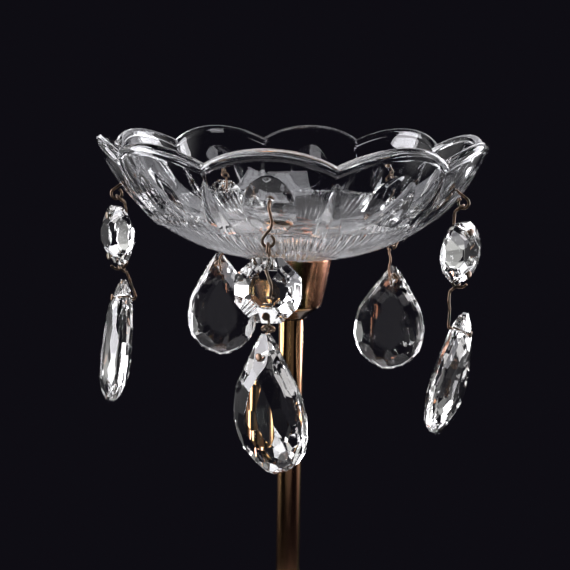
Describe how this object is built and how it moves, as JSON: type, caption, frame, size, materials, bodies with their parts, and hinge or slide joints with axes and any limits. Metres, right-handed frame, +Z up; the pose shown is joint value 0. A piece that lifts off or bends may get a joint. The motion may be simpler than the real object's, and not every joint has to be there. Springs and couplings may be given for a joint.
{
  "type": "tabletop candelabra",
  "caption": "Candle stand with a turned brass stem and foot, a scalloped glass drip bowl round the candle cup, and crystal strands of octagon and pear drop hanging from the bowl.",
  "frame": {"origin": "centre of the foot's underside, on the surface the candelabra stands on", "axes": "+Z up along the stem; -Y towards the front strand; the bowl, cup, stem and foot share the Z axis"},
  "size_m": [0.125, 0.1269, 0.2583],
  "materials": {
    "bowl_glass": "clear pressed glass with a fire-polished rim",
    "crystal": "clear cut and polished crystal",
    "antique_brass": "dark lacquered antique brass, polished",
    "polished_brass": "polished drawn brass under lacquer",
    "brass_wire": "tarnished drawn brass wire",
    "plated_steel": "zinc plated",
    "cast_iron": "rough as cast",
    "felt": "pressed wool felt"
  },
  "bodies": {
    "stand": {"felt_pad": "felt", "foot_weight": "cast_iron", "foot_shell": "antique_brass", "lock_washer": "plated_steel", "foot_nut": "plated_steel", "tie_rod": "plated_steel", "stem_collar": "antique_brass", "stem_tube": "polished_brass", "candle_cup": "antique_brass"},
    "bobeche": {"bobeche": "bowl_glass"},
    "hook_1": {"bowl_pin_1": "brass_wire"},
    "bead_1": {"bead_pin_1": "brass_wire", "octagon_1": "crystal", "link_pin_1": "brass_wire"},
    "pendant_1": {"drop_pin_1": "brass_wire", "drop_1": "crystal"},
    "hook_2": {"bowl_pin_2": "brass_wire"},
    "bead_2": {"bead_pin_2": "brass_wire", "octagon_2": "crystal", "link_pin_2": "brass_wire"},
    "pendant_2": {"drop_pin_2": "brass_wire", "drop_2": "crystal"},
    "hook_3": {"bowl_pin_3": "brass_wire"},
    "bead_3": {"bead_pin_3": "brass_wire", "octagon_3": "crystal", "link_pin_3": "brass_wire"},
    "pendant_3": {"drop_pin_3": "brass_wire", "drop_3": "crystal"},
    "hook_4": {"bowl_pin_4": "brass_wire"},
    "bead_4": {"bead_pin_4": "brass_wire", "octagon_4": "crystal", "link_pin_4": "brass_wire"},
    "pendant_4": {"drop_pin_4": "brass_wire", "drop_4": "crystal"},
    "hook_5": {"bowl_pin_5": "brass_wire"},
    "bead_5": {"bead_pin_5": "brass_wire", "octagon_5": "crystal", "link_pin_5": "brass_wire"},
    "pendant_5": {"drop_pin_5": "brass_wire", "drop_5": "crystal"}
  },
  "joints": [
    {"name": "bobeche_lift", "type": "slide", "parent": "stand", "child": "bobeche", "axis": [0, 0, 1], "range_m": [0, 0.06]},
    {"name": "hook_1_sideways", "type": "hinge", "parent": "bobeche", "child": "hook_1", "pos_m": [-0.00621, -0.0545, 0.24282], "axis": [-0.093, -0.816, -0.5705], "range_deg": [-20, 20]},
    {"name": "bead_1_outwards", "type": "hinge", "parent": "hook_1", "child": "bead_1", "pos_m": [-0.00631, -0.05539, 0.23212], "axis": [-0.9936, 0.1132, 0], "range_deg": [-20, 40]},
    {"name": "drop_1_sideways", "type": "hinge", "parent": "bead_1", "child": "pendant_1", "pos_m": [-0.00631, -0.05539, 0.20937], "axis": [-0.1132, -0.9936, 0], "range_deg": [-25, 25]},
    {"name": "hook_2_sideways", "type": "hinge", "parent": "bobeche", "child": "hook_2", "pos_m": [0.04992, -0.02275, 0.24282], "axis": [0.7473, -0.3406, -0.5705], "range_deg": [-20, 20]},
    {"name": "bead_2_outwards", "type": "hinge", "parent": "hook_2", "child": "bead_2", "pos_m": [0.05073, -0.02312, 0.23959], "axis": [-0.4147, -0.91, 0], "range_deg": [-20, 40]},
    {"name": "drop_2_sideways", "type": "hinge", "parent": "bead_2", "child": "pendant_2", "pos_m": [0.05073, -0.02312, 0.21459], "axis": [0.91, -0.4147, 0], "range_deg": [-25, 25]},
    {"name": "hook_3_sideways", "type": "hinge", "parent": "bobeche", "child": "hook_3", "pos_m": [0.03706, 0.04044, 0.24282], "axis": [0.5549, 0.6055, -0.5705], "range_deg": [-20, 20]},
    {"name": "bead_3_outwards", "type": "hinge", "parent": "hook_3", "child": "bead_3", "pos_m": [0.03766, 0.0411, 0.23959], "axis": [0.7373, -0.6756, 0], "range_deg": [-20, 40]},
    {"name": "drop_3_sideways", "type": "hinge", "parent": "bead_3", "child": "pendant_3", "pos_m": [0.03766, 0.0411, 0.21569], "axis": [0.6756, 0.7373, 0], "range_deg": [-25, 25]},
    {"name": "hook_4_sideways", "type": "hinge", "parent": "bobeche", "child": "hook_4", "pos_m": [-0.02701, 0.04774, 0.24282], "axis": [-0.4044, 0.7148, -0.5705], "range_deg": [-20, 20]},
    {"name": "bead_4_outwards", "type": "hinge", "parent": "hook_4", "child": "bead_4", "pos_m": [-0.02745, 0.04852, 0.23959], "axis": [0.8704, 0.4924, 0], "range_deg": [-20, 40]},
    {"name": "drop_4_sideways", "type": "hinge", "parent": "bead_4", "child": "pendant_4", "pos_m": [-0.02745, 0.04852, 0.21569], "axis": [-0.4924, 0.8704, 0], "range_deg": [-25, 25]},
    {"name": "hook_5_sideways", "type": "hinge", "parent": "bobeche", "child": "hook_5", "pos_m": [-0.05375, -0.01094, 0.24282], "axis": [-0.8048, -0.1637, -0.5705], "range_deg": [-20, 20]},
    {"name": "bead_5_outwards", "type": "hinge", "parent": "hook_5", "child": "bead_5", "pos_m": [-0.05463, -0.01111, 0.23959], "axis": [-0.1994, 0.9799, 0], "range_deg": [-20, 40]},
    {"name": "drop_5_sideways", "type": "hinge", "parent": "bead_5", "child": "pendant_5", "pos_m": [-0.05463, -0.01111, 0.21639], "axis": [-0.9799, -0.1994, 0], "range_deg": [-25, 25]}
  ]
}
